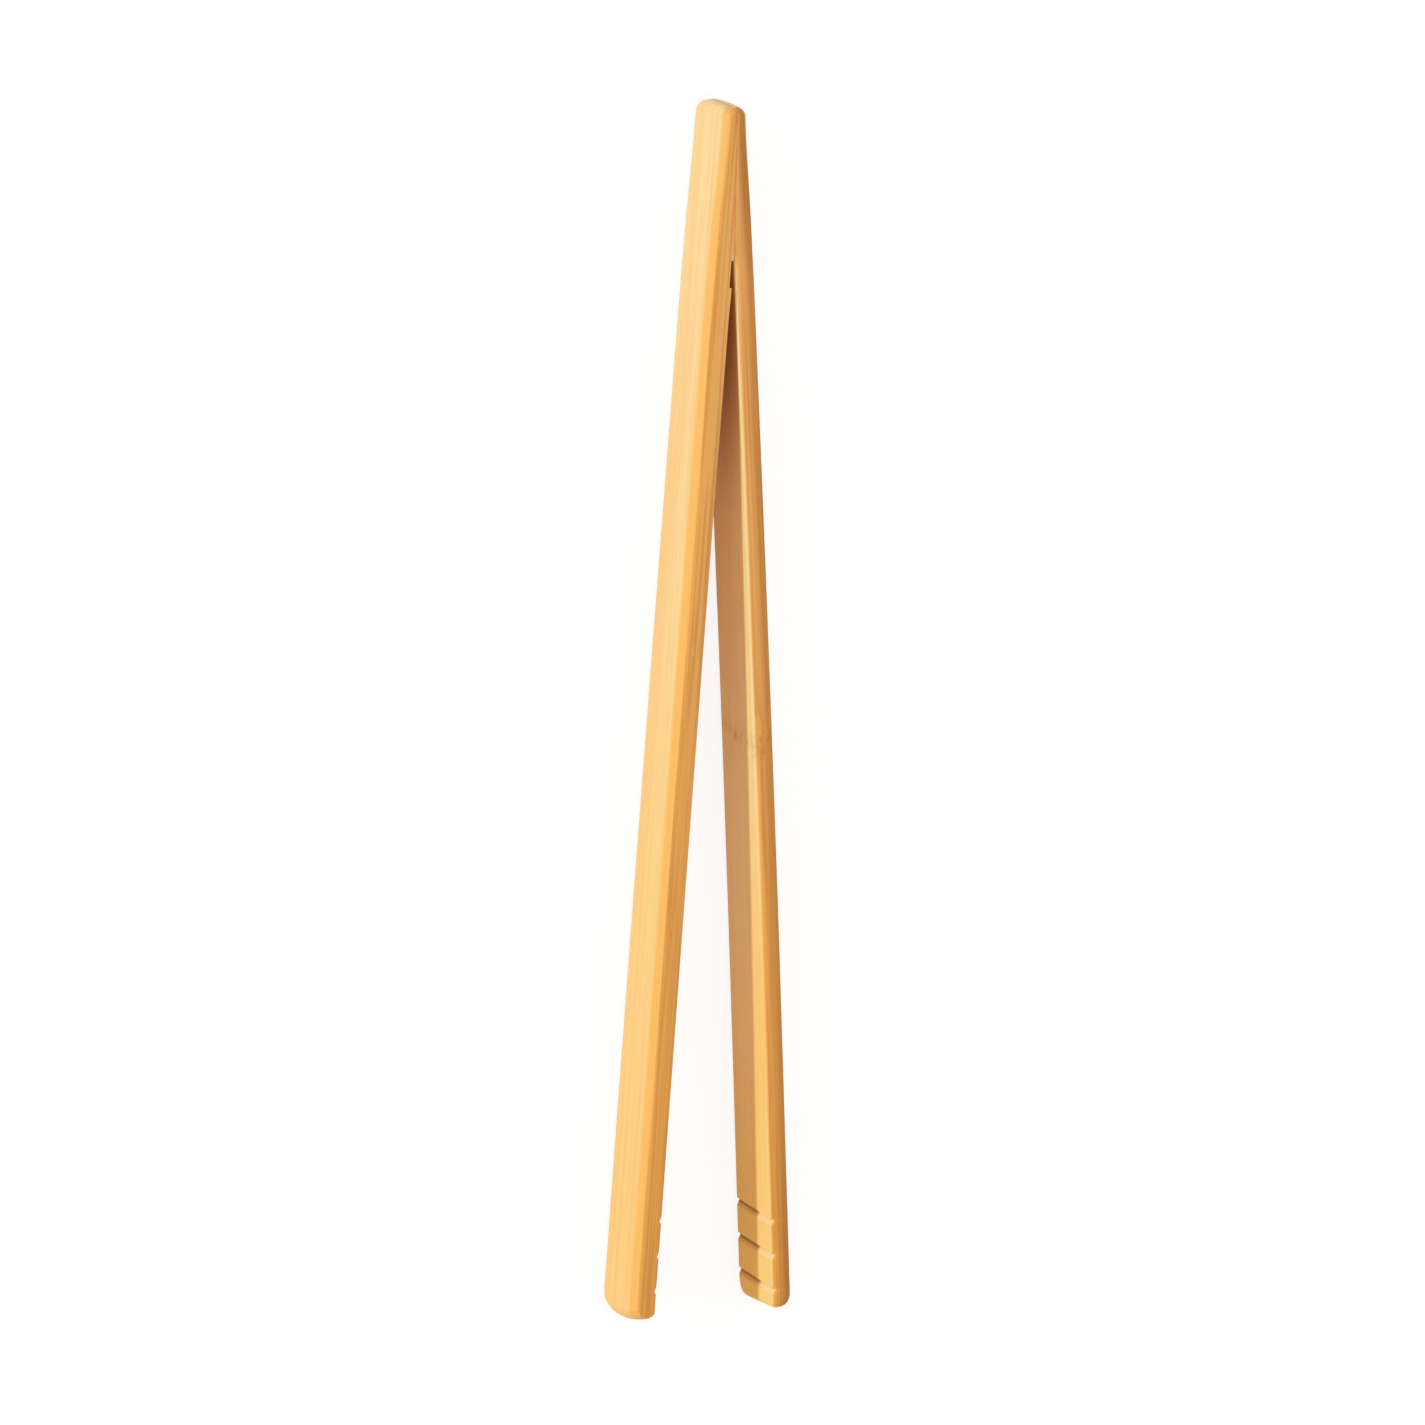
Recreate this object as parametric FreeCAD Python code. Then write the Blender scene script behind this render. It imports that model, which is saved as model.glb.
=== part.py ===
"""Bamboo print tongs for lifting wet prints out of trays.

Two straight bamboo laths lie side by side.  The inner face of each is planed to a long
bevel at the head, and the two bevels are glued together on the centre plane, so that the
laths spread apart below the splice.  Squeezing them bends each lath just below the splice
and brings the tips together.  Three grooves across each inner face at the tip hold the
edge of a print.

The tongs lie on their side, as they do on a bench: +Y runs to the head, +X is the way
the right-hand lath spreads, and +Z is up, across the width of the laths.  The origin is
under the middle of the tongs, at the height of the bench.

A lath is one springy strip.  Here it is divided across at the place where it bends as if
it were hinged, into a half that stays with the head and a blade that swings.
"""
import FreeCAD, Part
import math
import os

# Driving dimensions, in millimetres and degrees.
overall_length = 230.0
lath_width = 12.8
lath_thickness = 4.3
lath_lean = 3.62            # each lath from the centre plane
splice_length = 27.4        # from the head's end to where the inner faces part

# Rounding and planing of the edges.
crown_across_face = 2.8     # the planed strip along each outer edge, across the face
crown_down_side = 0.45      # the same strip, down the side
head_end_round = 1.3
largest_round_share = 0.8   # of the wood's thickness that the round may take at the head
head_low_corner_round = 2.8
head_high_corner_round = 1.6
head_arch = 35.0            # radius of the head's end, which is arched across the width
tip_outer_round = 2.6
tip_inner_round = 0.7
tip_low_corner_round = 3.6
tip_high_corner_round = 1.0
left_tip_arch = 17.0
right_tip_arch = 300.0
arch_crest = 0.47           # height of every arch's crest, as a share of the width

# Grooves across the inner face at the tip, cut by hand before the laths were glued, so that
# those of one lath lie a little further from its end.
groove_count = 3
groove_spacing = 6.75
left_groove_from_end = 6.9  # from the lath's end to the bottom of the last groove
right_groove_from_end = 4.5
groove_steep_side = 0.4     # along the lath, from the bottom of a groove to its steep edge
groove_long_side = 1.1      # the same, to its other edge
groove_depth = 0.6
groove_skew = 1.4           # how much nearer the tip a groove's upper end lies

# Shallow relief across the left lath's inner face, just below the splice.
relief_below_splice = 1.2
relief_length = 5.2
relief_depth = 0.5

# The glue line.
glue_thickness = 0.12
glue_inset = 0.05           # from the outside of the wood

# The place where a lath bends.  A strip held at one end and pushed at the other moves
# like a stiff bar hinged at this share of its free length.
flex_share = 0.15
knuckle_wall = 0.12         # wood left outside the round knuckle on each face
knuckle_clearance = 0.06
lip_setback = 0.6           # of the socket's lips from the middle of the knuckle

# Room by which a cutting tool runs past what it cuts.
overcut = 3.0

# Places that follow from the sizes above.
lean = math.radians(lath_lean)
head_y = overall_length / 2
splice_y = head_y - splice_length
glue_half = glue_thickness / 2
lath_below_splice = (splice_y + overall_length / 2) / math.cos(lean)
flex_below_splice = flex_share * lath_below_splice
knuckle_radius = lath_thickness / 2 - knuckle_wall


def point(x, y, z=0.0):
    return FreeCAD.Vector(x, y, z)


def rounded_outline(corners):
    """A flat face from (point, radius) corners, each turned by an arc of its radius."""
    edges = []
    starts = []
    ends = []
    middles = []
    for index, (corner, radius) in enumerate(corners):
        before = (corners[index - 1][0] - corner).normalize()
        after = (corners[(index + 1) % len(corners)][0] - corner).normalize()
        half_angle = before.getAngle(after) / 2
        setback = radius / math.tan(half_angle)
        to_middle = (before + after).normalize() * (radius / math.sin(half_angle) - radius)
        starts.append(corner + before * setback)
        middles.append(corner + to_middle)
        ends.append(corner + after * setback)
    for index, (_, radius) in enumerate(corners):
        if radius > 0:
            edges.append(Part.Arc(starts[index], middles[index], ends[index]).toShape())
        following = starts[(index + 1) % len(corners)]
        edges.append(Part.LineSegment(ends[index], following).toShape())
    return Part.Face(Part.Wire(edges))


def flat_prism(points, direction):
    return Part.Face(Part.makePolygon(points + points[:1])).extrude(direction)


def placed_on_lath(shape):
    """Move a shape from the right lath's own frame to its place on the tongs.

    In that frame x is 0 on the inner face and rises to the outer face, y rises to the
    head, and the origin is where the inner face leaves the bevel.
    """
    shape.rotate(point(0, 0), point(0, 0, 1), lath_lean)
    shape.translate(point(glue_half, splice_y))
    return shape


def on_lath(x, y):
    """Where a point of the right lath's own frame lies on the tongs."""
    return point(
        glue_half + x * math.cos(lean) - y * math.sin(lean),
        splice_y + x * math.sin(lean) + y * math.cos(lean),
    )


def side_outline():
    """The right lath seen from above: bevel, inner face, tip, outer face and head end."""
    bevelled_away = splice_length * math.tan(lean)
    end_thickness = lath_thickness / math.cos(lean) - bevelled_away
    end_round = min(head_end_round, end_thickness * largest_round_share)
    corners = [
        (on_lath(0, 0), 0),
        (on_lath(0, -lath_below_splice), tip_inner_round),
        (on_lath(lath_thickness, -lath_below_splice), tip_outer_round),
        (point(glue_half + end_thickness, head_y), end_round),
        (point(glue_half, head_y), 0),
    ]
    return rounded_outline(corners).extrude(point(0, 0, lath_width))


def arch(end_y, inwards, radius):
    """An arc across the width that touches end_y at its crest."""
    crest = lath_width * arch_crest
    low = -overcut
    high = lath_width + overcut
    low_y = end_y + inwards * (radius - math.sqrt(radius**2 - (crest - low) ** 2))
    high_y = end_y + inwards * (radius - math.sqrt(radius**2 - (high - crest) ** 2))
    return point(0, low_y, low), point(0, end_y, crest), point(0, high_y, high)


def arched_block(tip_arch):
    """A block as long as the tongs, whose two ends are arched across the width."""
    tip_low, tip_crest, tip_high = arch(-overall_length / 2, 1, tip_arch)
    head_low, head_crest, head_high = arch(head_y, -1, head_arch)
    edges = [
        Part.Arc(tip_low, tip_crest, tip_high).toShape(),
        Part.LineSegment(tip_high, head_high).toShape(),
        Part.Arc(head_high, head_crest, head_low).toShape(),
        Part.LineSegment(head_low, tip_low).toShape(),
    ]
    wide = overall_length
    block = Part.Face(Part.Wire(edges)).extrude(point(wide, 0))
    block.translate(point(-wide / 2, 0))
    return block


def face_outline(tip_arch):
    """The lath seen square to its face: a strip with arched ends and four rounded corners."""
    depth = overall_length
    corners = [
        (point(0, -overall_length / 2, 0), tip_low_corner_round),
        (point(0, -overall_length / 2, lath_width), tip_high_corner_round),
        (point(0, head_y, lath_width), head_high_corner_round),
        (point(0, head_y, 0), head_low_corner_round),
    ]
    strip = rounded_outline(corners).extrude(point(depth, 0))
    return strip.common(arched_block(tip_arch))


def planed_section():
    """The lath's cross-section, with a planed strip along both outer edges."""
    foot = -lath_below_splice - overcut
    sloping = lath_thickness - crown_down_side
    section = [
        point(-overcut, foot, 0),
        point(sloping, foot, 0),
        point(lath_thickness, foot, crown_across_face),
        point(lath_thickness, foot, lath_width - crown_across_face),
        point(sloping, foot, lath_width),
        point(-overcut, foot, lath_width),
    ]
    reach = lath_below_splice + splice_length + 2 * overcut
    return placed_on_lath(flat_prism(section, point(0, reach)))


def tip_grooves(from_end, towards_head, towards_tip):
    """V-shaped grooves across the inner face.  The last two sizes are a groove's two sides."""
    grooves = []
    drift = groove_skew / lath_width
    run = lath_width + 2 * overcut
    for index in range(groove_count):
        bottom = -lath_below_splice + from_end + index * groove_spacing
        bottom += (lath_width / 2 + overcut) * drift
        vee = [
            point(groove_depth, bottom, -overcut),
            point(-groove_depth, bottom + 2 * towards_head, -overcut),
            point(-groove_depth, bottom - 2 * towards_tip, -overcut),
        ]
        groove = flat_prism(vee, point(0, -run * drift, run))
        grooves.append(placed_on_lath(groove))
    return Part.makeCompound(grooves)


def plain_lath(tip_arch):
    """A lath with its bevel, planed edges and rounded ends, before it is grooved."""
    return side_outline().common(face_outline(tip_arch)).common(planed_section())


def relief_cutter():
    """A shallow flat-bottomed step across the inner face."""
    deep = overcut + relief_depth
    wide = lath_width + 2 * overcut
    corner = point(-overcut, -relief_below_splice - relief_length, -overcut)
    return placed_on_lath(Part.makeBox(deep, relief_length, wide, corner))


def knuckle(radius):
    """A round bar through the middle of the lath, at the place where it bends."""
    middle = point(lath_thickness / 2, -flex_below_splice, -overcut)
    return placed_on_lath(Part.makeCylinder(radius, lath_width + 2 * overcut, middle))


def lath_stretch(low, high):
    """Everything between two stations along the lath, wider than the wood."""
    wide = overall_length
    box = Part.makeBox(wide, high - low, lath_width + 2 * overcut, point(-wide / 2, low, -overcut))
    return placed_on_lath(box)


def split_lath(lath):
    """The half that stays with the head, and the blade with its round knuckle."""
    above = lath_stretch(lip_setback - flex_below_splice, splice_length + overcut)
    below = lath_stretch(-lath_below_splice - overcut, -flex_below_splice)
    head_half = lath.common(above).cut(knuckle(knuckle_radius + knuckle_clearance))
    blade = lath.common(below.fuse(knuckle(knuckle_radius)))
    return head_half, blade


def glue_film():
    """The cured glue between the bevels, down to where the laths part."""
    low = glue_inset
    high = lath_width - glue_inset
    top = head_y - glue_inset
    corners = [
        (point(-glue_half, splice_y, low), 0),
        (point(-glue_half, splice_y, high), 0),
        (point(-glue_half, top, high), head_high_corner_round - glue_inset),
        (point(-glue_half, top, low), head_low_corner_round - glue_inset),
    ]
    film = rounded_outline(corners).extrude(point(glue_thickness, 0))
    block = arched_block(right_tip_arch)
    block.translate(point(0, -glue_inset))
    return film.common(block)


def mirrored(shape):
    return shape.mirror(point(0, 0), point(1, 0, 0))


def only_solid(shape):
    solids = shape.Solids
    if len(solids) != 1:
        raise ValueError("expected one solid, found %d" % len(solids))
    return solids[0]


def build():
    right_grooves = tip_grooves(right_groove_from_end, groove_steep_side, groove_long_side)
    left_grooves = tip_grooves(left_groove_from_end, groove_long_side, groove_steep_side)
    right_lath = plain_lath(right_tip_arch).cut(right_grooves)
    left_lath = plain_lath(left_tip_arch).cut(left_grooves).cut(relief_cutter())
    right_head, right_blade = split_lath(right_lath)
    left_head, left_blade = split_lath(left_lath)
    return {
        "right_lath_head": right_head,
        "right_lath_blade": right_blade,
        "left_lath_head": mirrored(left_head),
        "left_lath_blade": mirrored(left_blade),
        "glue_film": glue_film(),
    }


os.makedirs("parts", exist_ok=True)
for name, shape in build().items():
    only_solid(shape).exportStep("parts/" + name + ".step")
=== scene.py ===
"""Bamboo print tongs: the looks of the two laths and of the glue that holds them."""

import math

import bpy
import numpy as np
from mathutils import Matrix, Vector


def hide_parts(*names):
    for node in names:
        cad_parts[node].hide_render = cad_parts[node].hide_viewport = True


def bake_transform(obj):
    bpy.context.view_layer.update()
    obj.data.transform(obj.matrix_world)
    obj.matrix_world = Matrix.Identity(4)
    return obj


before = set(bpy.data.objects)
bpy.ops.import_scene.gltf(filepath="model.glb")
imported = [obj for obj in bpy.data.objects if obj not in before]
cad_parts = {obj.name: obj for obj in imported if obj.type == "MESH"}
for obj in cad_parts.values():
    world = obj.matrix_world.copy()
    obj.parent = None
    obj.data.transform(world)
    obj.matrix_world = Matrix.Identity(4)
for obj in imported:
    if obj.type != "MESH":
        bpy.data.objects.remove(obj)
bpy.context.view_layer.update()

# ---------------------------------------------------------------- the two laths
# Two strips split from the wall of a bamboo cane, planed and lightly sanded, unvarnished.
# The inner face of each is planed to a long bevel at the head, where the two are glued
# together.  Three grooves are cut across each inner face at the tip.

# Sizes are in millimetres.  On a lath, u is measured outwards from the inner face, v
# along it towards the head from where the bevels part, and w up across its width.
lath_width = 12.8
lath_thickness = 4.3
lath_lean = math.radians(3.62)
head_y = 115.0
splice_y = 87.6
half_glue = 0.06
half_width = lath_width / 2
lath_below_splice = (splice_y + head_y) / math.cos(lath_lean)
lath_above_splice = (head_y - splice_y) / math.cos(lath_lean)

planed_down_side = 0.45
planed_across_face = 2.8
outer_edge_round = 0.4
sanded_edge_round = 1.5
planed_edge_round = 4.0
sharp_edge_round = 0.04

head_low_round = 2.8
head_high_round = 1.6
head_end_round = 1.4
head_arch = 60.0
tip_low_round = 3.6
tip_high_round = 1.0
tip_outer_round = 2.6
tip_inner_round = 1.1
arch_crest = 0.47 * lath_width

groove_spacing = 6.75
groove_count = 3
groove_depth = 0.6
groove_skew = 1.4
steep_side = 0.4
long_side = 1.1
relief_top = -1.2
relief_foot = -6.4
relief_depth = 0.5

# The unevenness of handwork: how far the sides are crowned and waved, how far the outer
# faces are waved, and how much thinner a lath is at the head.
side_crown = 0.22
side_waves = 0.03
face_waves = 0.05
head_taper = 0.3


def eased(value, low, high):
    """A smooth step from 0 at low to 1 at high: 3 t squared less 2 t cubed."""
    t = np.clip((value - low) / (high - low), 0, 1)
    return t * t * (3 - 2 * t)


def section_ring(inner_edge_round, outer_edge_round):
    """Once round a lath's section: straight runs, with an arc at each of its six corners.

    An arc's middle lies on the line that halves the corner, at the radius over the sine
    of the half angle.  Returns the u and w of every point.
    """
    sloping = lath_thickness - planed_down_side
    corners = np.array(
        [
            (0, 0),
            (sloping, 0),
            (lath_thickness, planed_across_face),
            (lath_thickness, lath_width - planed_across_face),
            (sloping, lath_width),
            (0, lath_width),
        ]
    )
    far_edge_round = min(inner_edge_round, 0.3)
    rounds = [far_edge_round, outer_edge_round, planed_edge_round]
    rounds += [planed_edge_round, outer_edge_round, inner_edge_round]
    run_points = [8, 5, 16, 5, 8, 28]
    arcs = []
    for k, radius in enumerate(rounds):
        before = corners[k - 1] - corners[k]
        after = corners[(k + 1) % 6] - corners[k]
        before = before / np.linalg.norm(before)
        after = after / np.linalg.norm(after)
        halfway = (before + after) / np.linalg.norm(before + after)
        half_angle = math.acos(float(before @ halfway))
        middle = corners[k] + halfway * radius / math.sin(half_angle)
        reach = math.pi / 2 - half_angle
        turn = np.linspace(-reach, reach, 7)[:, None]
        across = np.array([-halfway[1], halfway[0]])
        arcs.append(middle - radius * (halfway * np.cos(turn) + across * np.sin(turn)))
    ring = []
    for k, count in enumerate(run_points):
        share = np.linspace(0, 1, count + 2)[1:-1, None]
        ring.append(arcs[k])
        ring.append(arcs[k][-1] * (1 - share) + arcs[(k + 1) % 6][0] * share)
    return np.concatenate(ring).T


def stations(groove_from_end, towards_head, towards_tip):
    """Places along a lath, close together where its shape turns, and wide apart elsewhere."""
    quarter = np.linspace(0, math.pi / 2, 15)
    groove = np.concatenate(
        [
            np.linspace(-towards_tip, 0, 7),
            np.linspace(0, towards_head, 7),
            [-towards_tip - 0.1, towards_head + 0.1],
        ]
    )
    bottoms = groove_from_end + groove_spacing * np.arange(groove_count)
    places = [
        tip_low_round * (1 - np.cos(quarter)) - lath_below_splice,
        tip_high_round * (1 - np.cos(quarter[1:])) - lath_below_splice,
        np.arange(tip_low_round + 0.3, 26, 0.4) - lath_below_splice,
        (bottoms[:, None] + groove).ravel() - lath_below_splice,
        np.arange(26 - lath_below_splice, -9, 0.9),
        np.arange(-9, 3, 0.3),
        [relief_top, relief_top - 0.08, relief_foot, relief_foot + 0.08],
        np.arange(3, lath_above_splice - head_low_round, 0.7),
        lath_above_splice - head_low_round * (1 - np.cos(quarter)),
        lath_above_splice - head_high_round * (1 - np.cos(quarter[1:])),
    ]
    places = np.unique(np.round(np.concatenate(places), 4))
    apart = np.diff(places, prepend=places[0] - 1)
    return places[apart > 0.012]


def arched(w, radius):
    """How far an arch across the width stands back from its crest."""
    return radius - np.sqrt(radius**2 - (w - arch_crest) ** 2)


def corner_inset(from_end, radius):
    """How far a quarter round of this radius stands back from the side, near an end."""
    left = np.clip(radius - from_end, 0, radius)
    return radius - np.sqrt(radius**2 - left**2)


def groove_cut(v, w, groove_from_end, towards_head, towards_tip):
    """Depth of the skewed V grooves: a straight slope on each side of every bottom.

    Also says where the long slope of a groove is.
    """
    depth = np.zeros_like(v)
    on_long_side = np.zeros_like(v)
    drift = groove_skew * (0.5 - w / lath_width)
    for k in range(groove_count):
        above = v + lath_below_splice - groove_from_end - k * groove_spacing - drift
        slope = np.where(above > 0, above / towards_head, -above / towards_tip)
        depth = np.maximum(depth, groove_depth * (1 - slope))
        long_way = above * (towards_head - towards_tip) > 0
        on_long_side = np.maximum(on_long_side, (slope < 1) & long_way)
    return depth, on_long_side


def relief_cut(v):
    """Depth of the flat-bottomed relief, between its two steep ends."""
    return relief_depth * np.clip(np.minimum(relief_top - v, v - relief_foot) / 0.08, 0, 1)


def plane_waves(v, w, start):
    """Slow unevenness from planing by hand, from 0 to 1: two crossed sine waves."""
    along = np.sin(v / 13.0 + start) * np.cos(w / 4.1 + 0.7 * start + v / 57.0)
    finer = np.sin(v / 4.7 + 2.3 * start + w / 2.2)
    return 0.5 + 0.35 * along + 0.15 * finer


def section_along(along, edge):
    """The section's ring at every place along a lath, blended from three rings.

    The inner edges are sharp beside the glue and go over to a small round, within 6 mm
    from where edge says that it sets in.  The outer edges are sanded rounder towards the
    head.  Also returns how far the inner edges are broken.
    """
    edge_round, edge_top = edge
    sharp = section_ring(sharp_edge_round, outer_edge_round)
    broken_ring = section_ring(edge_round, outer_edge_round)
    sanded_ring = section_ring(sharp_edge_round, sanded_edge_round)
    broken = eased(-along, -edge_top, -edge_top + 6)
    sanded = eased(along, 4, 24)
    ring_u, ring_w = (
        sharp[k] + (broken_ring[k] - sharp[k]) * broken + (sanded_ring[k] - sharp[k]) * sanded
        for k in range(2)
    )
    return ring_u, ring_w, broken


def cornered(ring_w, from_tip, from_head, drawn):
    """Heights across the width, with the four corners of the lath's face rounded.

    The outermost band on each side is squeezed by as much as the corner's quarter round
    stands back, and a closing ring is drawn in to the middle of what is left.
    """
    band = 4.6
    low_inset = corner_inset(from_tip, tip_low_round) + corner_inset(from_head, head_low_round)
    high_inset = corner_inset(from_tip, tip_high_round) + corner_inset(from_head, head_high_round)
    off_middle = ring_w - half_width
    inset = np.where(off_middle < 0, low_inset, high_inset)
    fixed = half_width - band
    squeezed = fixed + (np.abs(off_middle) - half_width + band) * (band - inset) / band
    in_band = np.abs(off_middle) > fixed
    off_middle = np.where(in_band, np.sign(off_middle) * squeezed, off_middle)
    end_middle = (low_inset - high_inset) / 2
    return half_width + end_middle + (off_middle - end_middle) * drawn


def thinned(ring_u, along, from_tip, from_head, wood, drawn):
    """Distances outwards, where wood says how far the inner face has been cut back.

    The outer 1.2 mm of the ring keeps its shape, and what lies behind it is squeezed to
    the wood that is left.  Both faces are drawn in by the quarter rounds at the ends.
    """
    kept = lath_thickness - 1.2
    inner = wood + corner_inset(from_tip, tip_inner_round)
    outer = lath_thickness - corner_inset(from_tip, tip_outer_round)
    outer = outer - corner_inset(from_head, head_end_round) - head_taper * eased(along, -12, 22)
    u = np.where(ring_u > kept, ring_u, wood + ring_u * (kept - wood) / kept)
    u = inner + (u - wood) * (outer - inner) / (lath_thickness - wood)
    middle = (inner + outer) / 2
    return middle + (u - middle) * drawn


def grown(u, v, w, along, side, bent):
    """Where the points of a lath lie, since none is quite straight.

    bent is its twist at the tip, its bow outwards half way down and its sweep inwards at
    the tip.  The twist is eased in along the lath, the bow is half a sine wave, the sweep
    is a cube, and the whole lath is then turned by the lean.  A twisted section is made
    narrower, so that it stands no taller than a straight one.
    """
    twist, bow, sweep = bent
    turn = side * twist * eased(-along, 20, 210)
    height = lath_width * np.cos(turn) + lath_thickness * np.abs(np.sin(turn))
    off_u = u - lath_thickness / 2
    off_w = (w - half_width) * lath_width / height
    turned_u = lath_thickness / 2 + off_u * np.cos(turn) + off_w * np.sin(turn)
    turned_w = half_width + off_w * np.cos(turn) - off_u * np.sin(turn)
    run = np.clip(-along / lath_below_splice, 0, 1)
    turned_u = turned_u + bow * np.sin(math.pi * run) - sweep * run**3
    x = half_glue + turned_u * math.cos(lath_lean) - v * math.sin(lath_lean)
    y = splice_y + turned_u * math.sin(lath_lean) + v * math.cos(lath_lean)
    return np.maximum(x, half_glue), np.maximum(y, 0.05 - head_y), turned_w


def lath_surface(
    side, groove_from_end, towards_head, towards_tip, knot_v, edge, tip_arch, bent, tallness
):
    """The closed surface of one lath, as a ring of its section carried along it.

    The ring is squeezed to the wood left by the bevel, the grooves and the relief, and
    the ends are closed by rings that shrink to a point.  side is 1 for the right lath and
    -1 for the left one, which is its mirror image.  tallness is the lath's width as a
    share of the wider one's.  Returns the points, and three places that the wood's
    pattern follows: in the wood, on the uncut section, and in the cuts.
    """
    place = stations(groove_from_end, towards_head, towards_tip)
    shrink = np.array([0.3, 0.6, 0.85])
    along = np.concatenate([np.full(3, place[0]), place, np.full(3, place[-1])])[:, None]
    drawn = np.concatenate([shrink, np.ones(len(place)), shrink[::-1]])[:, None]
    from_tip = along + lath_below_splice
    from_head = (lath_above_splice - along) * math.cos(lath_lean)
    ring_u, ring_w, broken = section_along(along, edge)
    w = cornered(ring_w, from_tip, from_head, drawn)

    skew = groove_skew * (0.5 - w / lath_width)
    skew = skew * eased(from_tip, 1.6, 3.4) * (1 - eased(from_tip, 22, 26))
    v = along + skew
    bevel = np.maximum(v, 0) * math.tan(lath_lean)
    cut, on_long_side = groove_cut(v, w, groove_from_end, towards_head, towards_tip)
    if side < 0:
        cut = cut * (1 - 0.4 * eased(w, 6, lath_width))
        cut = np.maximum(cut, relief_cut(v))
    u = thinned(ring_u, along, from_tip, from_head, np.maximum(bevel, cut), drawn)

    across = np.clip(2 * ring_u / lath_thickness - 1, -1, 1)
    crown = across**2 * np.where(across > 0, 1, broken * edge[0])
    on_side = eased(np.abs(ring_w - half_width), half_width - 1.2, half_width)
    flank = on_side * (side_crown * crown + side_waves * plane_waves(v, ring_u, 1.0 + side))
    w = w - np.sign(ring_w - half_width) * flank * drawn
    on_face = eased(ring_u, lath_thickness - 0.7, lath_thickness)
    u = u - face_waves * on_face * plane_waves(v, w, 3.0 + side) * drawn

    towards_end = eased(-from_head, -9, -1)
    v = v - (u * math.tan(lath_lean) + arched(w, head_arch)) * towards_end
    v = v + arched(w, tip_arch) * (1 - eased(from_tip, 0, 5))
    x, y, z = grown(u, v, w, along, side, bent)

    points = np.stack([side * x, y, z * tallness], axis=-1)
    wood_place = np.stack([u, v, w], axis=-1)
    seat_u = lath_thickness / 2 * (1 - drawn) + ring_u * drawn
    seat_w = half_width * (1 - drawn) + ring_w * drawn
    ring_place = np.stack([seat_u, v - knot_v, seat_w], axis=-1)
    cut_place = np.stack([cut / groove_depth, on_long_side, 0 * v], axis=-1)
    return points, wood_place, ring_place, cut_place


def closed_mesh(name, points, inside_out):
    """A mesh from rings of points, with its two ends closed by a fan about a middle point."""
    rows, count = points.shape[:2]
    caps = points[[0, -1]].mean(axis=1)
    vertices = np.concatenate([points.reshape(-1, 3), caps]) * 0.001
    i, j = np.meshgrid(np.arange(rows - 1), np.arange(count), indexing="ij")
    following = (j + 1) % count
    quads = np.stack(
        [i * count + j, (i + 1) * count + j, (i + 1) * count + following, i * count + following],
        axis=-1,
    ).reshape(-1, 4)
    start = np.arange(count)
    after = (start + 1) % count
    last = (rows - 1) * count
    low_fan = np.stack([np.full(count, rows * count), start, after], axis=-1)
    high_fan = np.stack([np.full(count, rows * count + 1), last + after, last + start], axis=-1)
    if inside_out:
        quads = quads[:, ::-1]
        low_fan = low_fan[:, ::-1]
        high_fan = high_fan[:, ::-1]
    mesh = bpy.data.meshes.new(name)
    faces = quads.tolist() + low_fan.tolist() + high_fan.tolist()
    mesh.from_pydata(vertices.tolist(), [], faces)
    mesh.polygons.foreach_set("use_smooth", np.ones(len(mesh.polygons), bool))
    mesh.set_sharp_from_angle(angle=math.radians(38))
    return mesh


def keep_place(mesh, name, places):
    """Store where each point lies on its lath, so that the grain bends with the wood."""
    caps = places[[0, -1]].mean(axis=1)
    values = np.concatenate([places.reshape(-1, 3), caps]).astype(np.float32)
    stored = mesh.attributes.new(name, "FLOAT_VECTOR", "POINT")
    stored.data.foreach_set("vector", values.ravel())


class Wire:
    """An output of a shader node.  Arithmetic on it adds the Math node that works it out."""

    def __init__(self, finish, socket):
        self.finish = finish
        self.socket = socket

    def maths(self, operation, first, second):
        return self.finish.node("ShaderNodeMath", {"operation": operation}, {0: first, 1: second})

    def __add__(self, other):
        return self.maths("ADD", self, other)

    def __sub__(self, other):
        return self.maths("SUBTRACT", self, other)

    def __rsub__(self, other):
        return self.maths("SUBTRACT", other, self)

    def __mul__(self, other):
        return self.maths("MULTIPLY", self, other)

    def __abs__(self):
        return self.finish.node("ShaderNodeMath", {"operation": "ABSOLUTE"}, {0: self})

    __radd__ = __add__
    __rmul__ = __mul__


class Finish:
    """The nodes of a material or of the world."""

    def __init__(self, owner):
        owner.use_nodes = True
        self.tree = owner.node_tree
        self.tree.nodes.clear()

    def node(self, kind, settings, sockets, output=0):
        """Add a node: its settings first, then its sockets.  Returns one of its outputs, if any."""
        made = self.tree.nodes.new(kind)
        for name, value in settings.items():
            setattr(made, name, value)
        for name, value in sockets.items():
            if isinstance(value, Wire):
                self.tree.links.new(value.socket, made.inputs[name])
            else:
                made.inputs[name].default_value = value
        return Wire(self, made.outputs[output]) if made.outputs else None

    def stepped(self, value, low, high):
        """0 below low, 1 above high and an eased step between."""
        sockets = {"Value": value, "From Min": low, "From Max": high}
        return self.node("ShaderNodeMapRange", {"interpolation_type": "SMOOTHSTEP"}, sockets)

    def blended(self, first, second, share):
        """One colour going over to another, as the share of the second goes from 0 to 1."""
        sockets = {0: share, 6: first, 7: second}
        return self.node("ShaderNodeMix", {"data_type": "RGBA"}, sockets, 2)

    def noise(self, place, stretch, detail, rough):
        """Noise over a place whose three measures are first multiplied by stretch."""
        scaled = self.node(
            "ShaderNodeVectorMath", {"operation": "MULTIPLY"}, {0: place, 1: stretch}
        )
        sockets = {"Vector": scaled, "Scale": 1.0, "Detail": detail, "Roughness": rough}
        return self.node("ShaderNodeTexNoise", {}, sockets)


def colour(red, green, blue):
    return (red, green, blue, 1.0)


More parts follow.
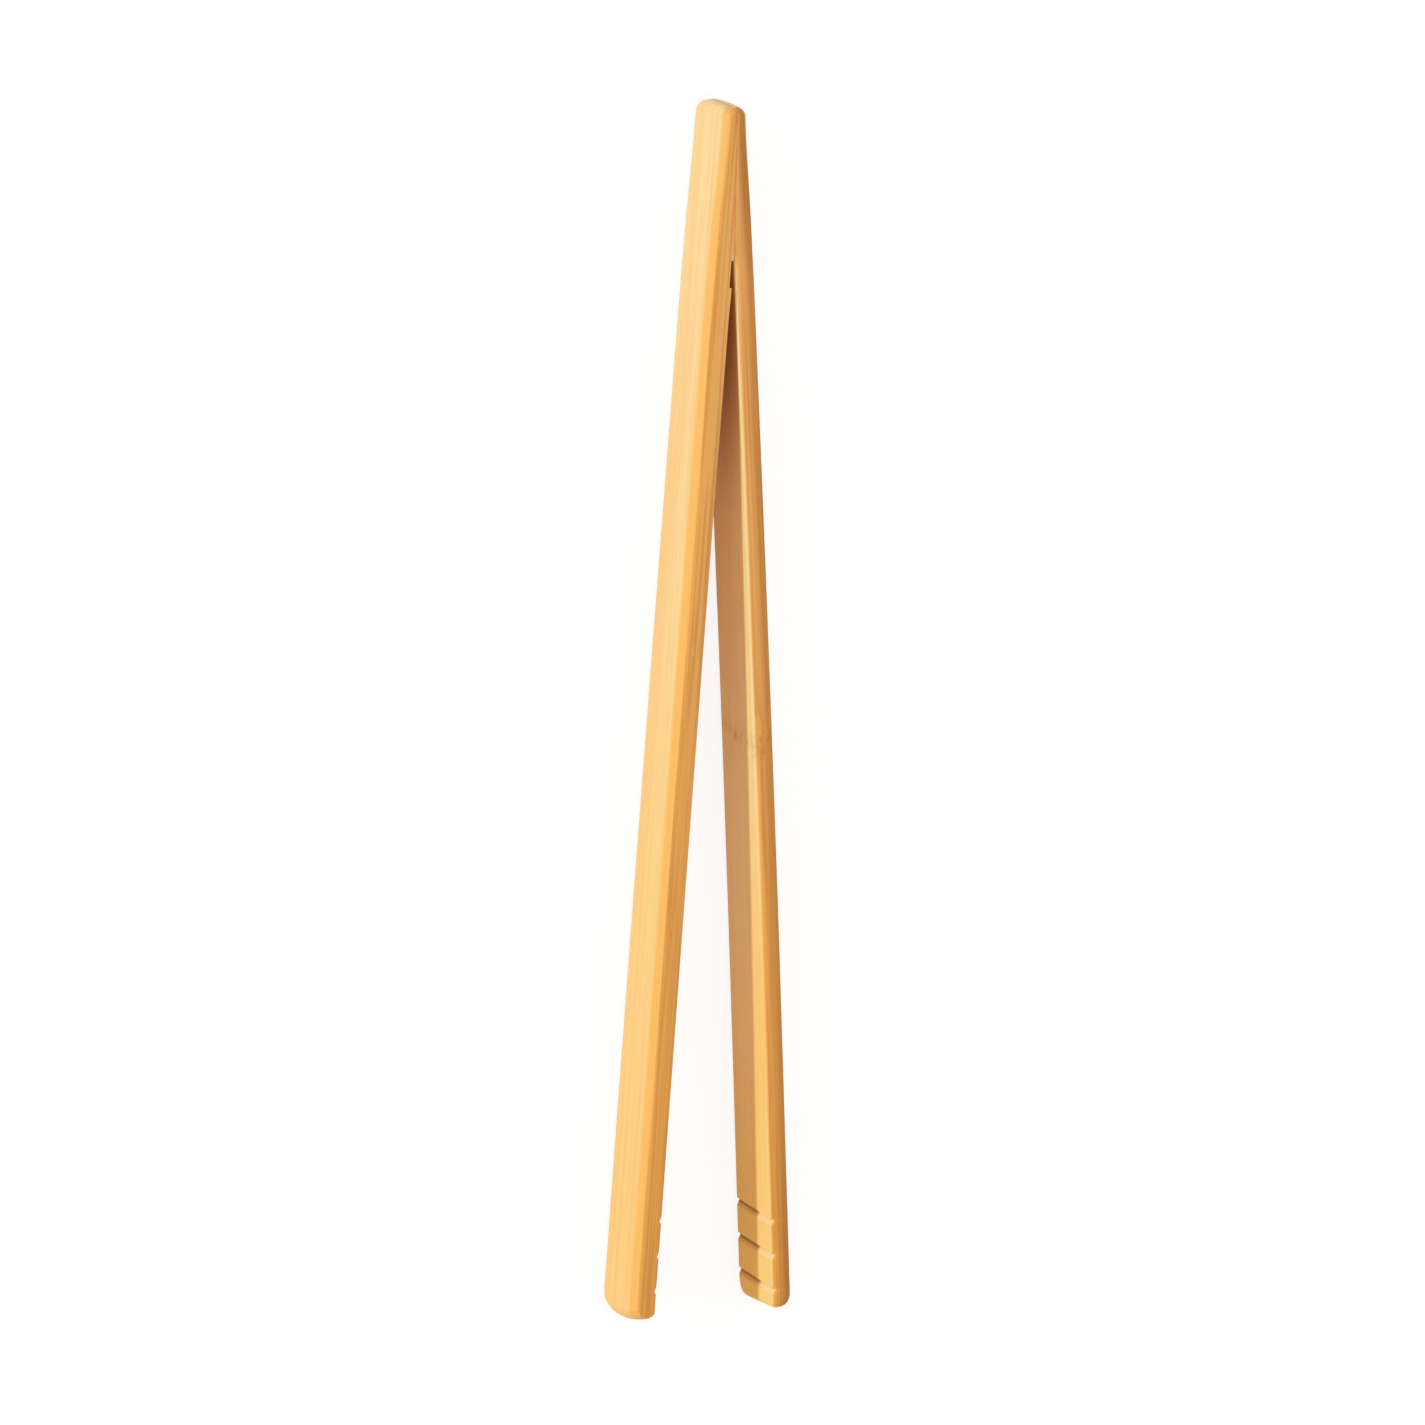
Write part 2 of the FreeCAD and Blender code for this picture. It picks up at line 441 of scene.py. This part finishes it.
# The wall of the cane, from the pale soft wood inside to the close dark fibres by the skin, with
# painted light and shade among these colours.
face_at_head = colour(0.96, 0.70, 0.33)
face_at_tip = colour(0.96, 0.62, 0.21)
face_fibre = colour(0.93, 0.50, 0.14)
strip_wood = colour(0.95, 0.48, 0.085)
# Painted shade: the inner face darkened deep in the narrow gap between the laths by the splice.
narrow_gap_shade = colour(0.66, 0.26, 0.045)
# Brown of the inner face under the left lath's shadow, a painted shadow.
inner_in_shadow = colour(0.99, 0.63, 0.30)
inner_at_tip = colour(0.97, 0.50, 0.085)
# Pale inner face above the left lath's shadow line, a painted sunlit strip.
sunlit_strip_at_head = colour(0.99, 0.77, 0.35)
sunlit_strip_at_tip = colour(0.99, 0.66, 0.205)
side_inner = colour(0.98, 0.48, 0.125)
side_soft = colour(1.0, 0.465, 0.09)
side_at_tip = colour(0.93, 0.40, 0.060)
# Partly painted shade, for the right lath's outer side turned away from the light.
side_skin_and_shade = colour(0.72, 0.285, 0.044)
side_worn = colour(0.56, 0.20, 0.024)
side_fibre = colour(0.62, 0.21, 0.030)
knot_wood = colour(0.60, 0.28, 0.075)
# A painted highlight and a painted shade for the grooves.
groove_painted_light = colour(0.98, 0.76, 0.42)
groove_painted_shade = colour(0.34, 0.13, 0.03)

bamboo = bpy.data.materials.new("bamboo")
wood = Finish(bamboo)
place = wood.node("ShaderNodeAttribute", {"attribute_name": "wood_place"}, {}, "Vector")
on_ring = wood.node("ShaderNodeAttribute", {"attribute_name": "ring_place"}, {}, "Vector")
parted = {"kind": "ShaderNodeSeparateXYZ", "settings": {}}
grain_u = wood.node(**parted, sockets={0: place}, output=0)
grain_v = wood.node(**parted, sockets={0: place}, output=1)
grain_w = wood.node(**parted, sockets={0: place}, output=2)
ring_u = wood.node(**parted, sockets={0: on_ring}, output=0)
knot_v = wood.node(**parted, sockets={0: on_ring}, output=1)
ring_w = wood.node(**parted, sockets={0: on_ring}, output=2)

# The grain swerves round the knot, then runs straight again.
skinned = wood.node("ShaderNodeAttribute", {"attribute_name": "near_the_skin"}, {}, "Fac")
knot_near = (1 - wood.stepped(abs(knot_v), 0.3, 6.0)) * (0.15 + skinned * 0.85)
swerve = wood.noise(place, (0.35, 0.30, 0.30), 2.0, 0.5)
bent_u = grain_u + (swerve - 0.5) * knot_near * 2.4
bent_w = grain_w + (swerve - 0.5) * knot_near * -3.4
grain = wood.node("ShaderNodeCombineXYZ", {}, {0: bent_u, 1: grain_v, 2: bent_w})

broad = wood.noise(grain, (0.55, 0.010, 0.42), 2.0, 0.5)
streak = wood.noise(grain, (2.1, 0.020, 1.9), 3.0, 0.55)
hair = wood.noise(grain, (7.5, 0.060, 7.5), 2.0, 0.6)
mottle = wood.noise(place, (0.8, 0.25, 0.8), 3.0, 0.6)
bundle_place = wood.node(
    "ShaderNodeVectorMath", {"operation": "MULTIPLY"}, {0: grain, 1: (1.9, 0.018, 1.9)}
)
bundle = wood.node(
    "ShaderNodeTexVoronoi", {}, {"Vector": bundle_place, "Scale": 1.0}, "Distance"
)
bundle = 1 - wood.stepped(bundle, 0.12, 0.42)

from_middle = abs(ring_w - half_width)
on_side = wood.stepped(from_middle, half_width - 0.34, half_width - 0.03)
# The outer face is paler by the head, with a planed strip along its upper edge.
on_outer = wood.stepped(ring_u, 1.6, 2.6)
in_head = wood.stepped(grain_v, -5.0, 24.0)
on_strip = wood.stepped(ring_w - in_head, lath_width - 3.1, lath_width - 1.9) * on_outer

towards_tip = 1 - wood.stepped(grain_v, -200.0, 20.0)
face = wood.blended(face_at_head, face_at_tip, towards_tip)
face = wood.blended(face, face_fibre, wood.stepped(streak, 0.46, 0.66) * 0.36)
face = wood.blended(face, face_fibre, wood.stepped(broad, 0.45, 0.62) * 0.26)
face = wood.blended(face, strip_wood, on_strip * (0.62 + streak * 0.5))

# The inner face is painted by where the left lath's shadow falls on it: a pale painted sunlit
# strip along its upper edge, which widens towards the tip as the shadow line drops, and
# browner painted shadow below.  By the splice, in the narrow gap between the laths, it is
# painted darker still, a painted shade.
on_inner = 1 - wood.stepped(ring_u, 0.0, 0.7)
above_shadow_line = ring_w - 12.3 - grain_v * 0.0235
brown = wood.blended(inner_in_shadow, inner_at_tip, 1 - wood.stepped(grain_v, -205.0, -120.0))
brown = wood.blended(brown, inner_at_tip, wood.stepped(streak, 0.42, 0.66) * 0.4)
pale = wood.blended(sunlit_strip_at_tip, sunlit_strip_at_head, wood.stepped(grain_v, -150.0, -90.0))
pale = wood.blended(pale, inner_at_tip, wood.stepped(streak, 0.46, 0.66) * 0.3)
inner = wood.blended(brown, pale, wood.stepped(above_shadow_line, -0.6, 0.4))
# Painted shade in the narrow gap between the laths, below their upper edge, near the splice.
in_narrow_gap = wood.stepped(grain_v, -56.0, -12.0)
below_edge = 1 - wood.stepped(ring_w, lath_width - 1.2, lath_width - 0.6)
inner = wood.blended(inner, narrow_gap_shade, in_narrow_gap * below_edge)
face = wood.blended(face, inner, on_inner)

# The sides show the wall of the cane from its pith to its skin, which only the right
# lath reaches.  The skin is darker, partly from its close fibres and partly painted shade,
# where the right lath's outer half turns away from the light.  It is darkest where hands
# and baths have worn it, at both ends.
depth = ring_u + (broad - 0.5) * 1.6 + in_head * skinned * 1.5
skin_and_shade = wood.blended(side_skin_and_shade, side_worn, wood.stepped(abs(grain_v + 90.0), 70.0, 112.0))
soft = wood.blended(side_soft, side_at_tip, towards_tip * 0.6)
pith_side = wood.blended(side_inner, side_at_tip, towards_tip)
flank = wood.blended(pith_side, wood.blended(soft, skin_and_shade, skinned), wood.stepped(depth, 0.8, 3.4))
flank = wood.blended(flank, side_fibre, wood.stepped(streak, 0.46, 0.62) * 0.50)
flank = wood.blended(flank, side_fibre, bundle * 0.30)
flank = wood.blended(flank, pith_side, wood.stepped(hair, 0.50, 0.70) * 0.35)

timber = wood.blended(face, flank, on_side)
timber = wood.blended(timber, side_fibre, wood.stepped(hair, 0.58, 0.78) * 0.12)

# The grooves are painted pale on their long slope where the sun reaches the inner face, a painted
# highlight, and painted dark on their steep slope, in their bottoms and in the left lath's shadow,
# a painted shade.
cut_at = wood.node("ShaderNodeAttribute", {"attribute_name": "cut_place"}, {}, "Vector")
cut_depth = wood.node(**parted, sockets={0: cut_at}, output=0)
long_slope = wood.node(**parted, sockets={0: cut_at}, output=1)
near_tip = 1 - wood.stepped(grain_v, -140.0, -120.0)
in_groove = wood.stepped(cut_depth, 0.03, 0.12) * near_tip * (1 - wood.stepped(ring_u, 0.0, 0.2))
in_sunlit_part = wood.stepped(ring_w + (mottle - 0.5) * 1.5, 6.4, 8.2)
timber = wood.blended(timber, groove_painted_light, in_groove * long_slope * in_sunlit_part * 0.7)
groove_shade = in_groove * (1 - in_sunlit_part) * (0.25 + wood.stepped(cut_depth, 0.35, 0.75) * 0.55)
timber = wood.blended(timber, groove_painted_shade, groove_shade + in_groove * in_sunlit_part * (1 - long_slope) * 0.4)

end_grain = wood.stepped(grain_v, lath_above_splice - 3.0, lath_above_splice - 0.6)
timber = wood.blended(timber, side_fibre, end_grain * bundle * 0.12)
timber = wood.blended(timber, knot_wood, wood.stepped(mottle, 0.52, 0.72) * end_grain * 0.12)

# The knot is a ring across the cane: darker cloudy wood about a slanting scar.
slant = knot_v + (swerve - 0.5) * 6.0 + (ring_w - 6.0) * 0.3 + ring_u * 0.5
scar = 1 - wood.stepped(abs(slant), 0.2, 1.9)
marked = knot_near * wood.stepped(mottle, 0.38, 0.66)
timber = wood.blended(timber, knot_wood, scar * marked * 0.35)
timber = wood.blended(timber, side_fibre, marked * wood.stepped(swerve, 0.40, 0.62) * 0.25)

worn = wood.noise(place, (0.30, 0.05, 0.30), 4.0, 0.65)
relief_height = streak * 0.5 + hair * 0.35 + bundle * 0.15
bumped = wood.node(
    "ShaderNodeBump", {}, {"Strength": 0.35, "Distance": 0.00006, "Height": relief_height}, "Normal"
)
surface = wood.node(
    "ShaderNodeBsdfPrincipled",
    {},
    {
        "Base Color": timber,
        "Roughness": 0.50 + worn * 0.16 + hair * 0.08,
        "Normal": bumped,
    },
)
wood.node("ShaderNodeOutputMaterial", {}, {"Surface": surface})

# The laths are different strips of cane, so the left one's grain lies elsewhere in the
# pattern.
left_grain_shift = 40.0
laths = {
    "right_lath": {
        "side": 1,
        "groove_from_end": 4.5,
        "towards_head": steep_side,
        "towards_tip": long_side,
        "knot_v": -92.8,
        "edge": (0.8, 3.0),
        "tip_arch": 300.0,
        "bent": (math.radians(1.2), 0.42, 0.08),
        "tallness": 1.0,
    },
    "left_lath": {
        "side": -1,
        "groove_from_end": 6.9,
        "towards_head": long_side,
        "towards_tip": steep_side,
        "knot_v": -74.6,
        "edge": (0.25, -6.6),
        "tip_arch": 17.0,
        "bent": (math.radians(2.4), 0.10, 0.14),
        "tallness": 0.986,
    },
}
for name, cutting in laths.items():
    on_left = cutting["side"] < 0
    points, wood_place, ring_place, cut_place = lath_surface(**cutting)
    mesh = closed_mesh(name, points, on_left)
    wood_place[..., 2] += left_grain_shift * on_left
    keep_place(mesh, "wood_place", wood_place)
    keep_place(mesh, "ring_place", ring_place)
    keep_place(mesh, "cut_place", cut_place)
    near_the_skin = mesh.attributes.new("near_the_skin", "FLOAT", "POINT")
    reached = np.full(len(mesh.vertices), not on_left, np.float32)
    near_the_skin.data.foreach_set("value", reached)
    mesh.materials.append(bamboo)
    lath = bpy.data.objects.new(name, mesh)
    bpy.context.scene.collection.objects.link(lath)
    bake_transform(lath)
    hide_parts(name + "_head", name + "_blade")

# ---------------------------------------------------------------- the glue film
# Clear glue squeezed thin between the two bevels and cured to an amber film.  Only its
# edge shows, as the fine seam down the side of the head.
glue = bpy.data.materials.new("cured_glue")
film = Finish(glue)
film_place = film.node("ShaderNodeTexCoord", {}, {}, "Object")
cloudy = film.noise(film_place, (900.0, 260.0, 900.0), 3.0, 0.6)
amber = film.blended(
    colour(0.66, 0.31, 0.085), colour(0.84, 0.45, 0.15), film.stepped(cloudy, 0.35, 0.7)
)
glaze = film.node(
    "ShaderNodeBsdfPrincipled", {}, {"Base Color": amber, "Roughness": 0.26 + cloudy * 0.2}
)
film.node("ShaderNodeOutputMaterial", {}, {"Surface": glaze})
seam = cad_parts["glue_film"]
seam.data.materials.clear()
seam.data.materials.append(glue)

# ---------------------------------------------------------------- floor, light and camera
# A white studio table, a soft sky all round and one low hard light from the left, from
# a little beyond the head.  The table shows bright white but keeps a faint shadow.
table = bpy.data.meshes.new("table")
table.from_pydata([(-4, -4, 0), (4, -4, 0), (4, 4, 0), (-4, 4, 0)], [], [(0, 1, 2, 3)])
floor = bpy.data.objects.new("floor", table)
bpy.context.scene.collection.objects.link(floor)
white = bpy.data.materials.new("white_table")
paint = Finish(white)
seen = paint.node("ShaderNodeLightPath", {}, {}, "Is Camera Ray")
glossed = paint.node("ShaderNodeLightPath", {}, {}, "Is Glossy Ray")
shown = paint.node("ShaderNodeMath", {"operation": "MAXIMUM"}, {0: seen, 1: glossed})
plain = paint.node("ShaderNodeBsdfDiffuse", {}, {"Color": colour(0.8, 0.8, 0.8)})
shadowed = paint.node("ShaderNodeBsdfDiffuse", {}, {"Color": colour(0.28, 0.28, 0.28)})
lifted = paint.node(
    "ShaderNodeEmission", {}, {"Color": colour(1.0, 1.0, 1.0), "Strength": 0.81}
)
backdrop = paint.node("ShaderNodeAddShader", {}, {0: shadowed, 1: lifted})
both = paint.node("ShaderNodeMixShader", {}, {0: shown, 1: plain, 2: backdrop})
paint.node("ShaderNodeOutputMaterial", {}, {"Surface": both})
table.materials.append(white)

world = bpy.data.worlds.new("studio")
bpy.context.scene.world = world
sky = Finish(world)
seen = sky.node("ShaderNodeLightPath", {}, {}, "Is Camera Ray")
soft = sky.node("ShaderNodeBackground", {}, {"Color": colour(1.0, 1.0, 1.0), "Strength": 0.70})
blank = sky.node("ShaderNodeBackground", {}, {"Color": colour(1.0, 1.0, 1.0), "Strength": 1.0})
mixed = sky.node("ShaderNodeMixShader", {}, {0: seen, 1: soft, 2: blank})
sky.node("ShaderNodeOutputWorld", {}, {"Surface": mixed})

lamp = bpy.data.lights.new("low_light", "SUN")
lamp.energy = 1.15
lamp.angle = math.radians(2.5)
light = bpy.data.objects.new("low_light", lamp)
light.rotation_euler = Vector((1.0, -0.35, -0.205)).to_track_quat("-Z", "Y").to_euler()
bpy.context.scene.collection.objects.link(light)

# The camera looks down from far off, swung over to the left and towards the head, and
# rolled a little.  Its picture is 264 mm wide, and its middle lies beside the tongs' own.
swing = math.radians(29.8)
rise = math.radians(13.0)
roll = math.radians(1.16)
lens = 400.0
sensor = 36.0
view_width = 0.264428
sideways = 0.000705
upwards = -0.00026
outwards = Vector(
    (-math.sin(swing) * math.cos(rise), math.sin(rise), math.cos(swing) * math.cos(rise))
)
right = Vector((math.cos(swing), 0, math.sin(swing)))
up = outwards.cross(right)
camera_x = right * math.cos(roll) + up * math.sin(roll)
camera_y = up * math.cos(roll) - right * math.sin(roll)
eye = bpy.data.cameras.new("camera")
eye.lens = lens
eye.sensor_width = sensor
distance = view_width * lens / sensor
camera = bpy.data.objects.new("camera", eye)
aim = Vector((0, 0, half_width * 0.001)) + camera_x * sideways + camera_y * upwards
turn = Matrix((camera_x, camera_y, outwards)).transposed().to_4x4()
camera.matrix_world = Matrix.Translation(aim + outwards * distance) @ turn
bpy.context.scene.collection.objects.link(camera)
bpy.context.scene.camera = camera
bpy.context.scene.view_settings.view_transform = "Standard"
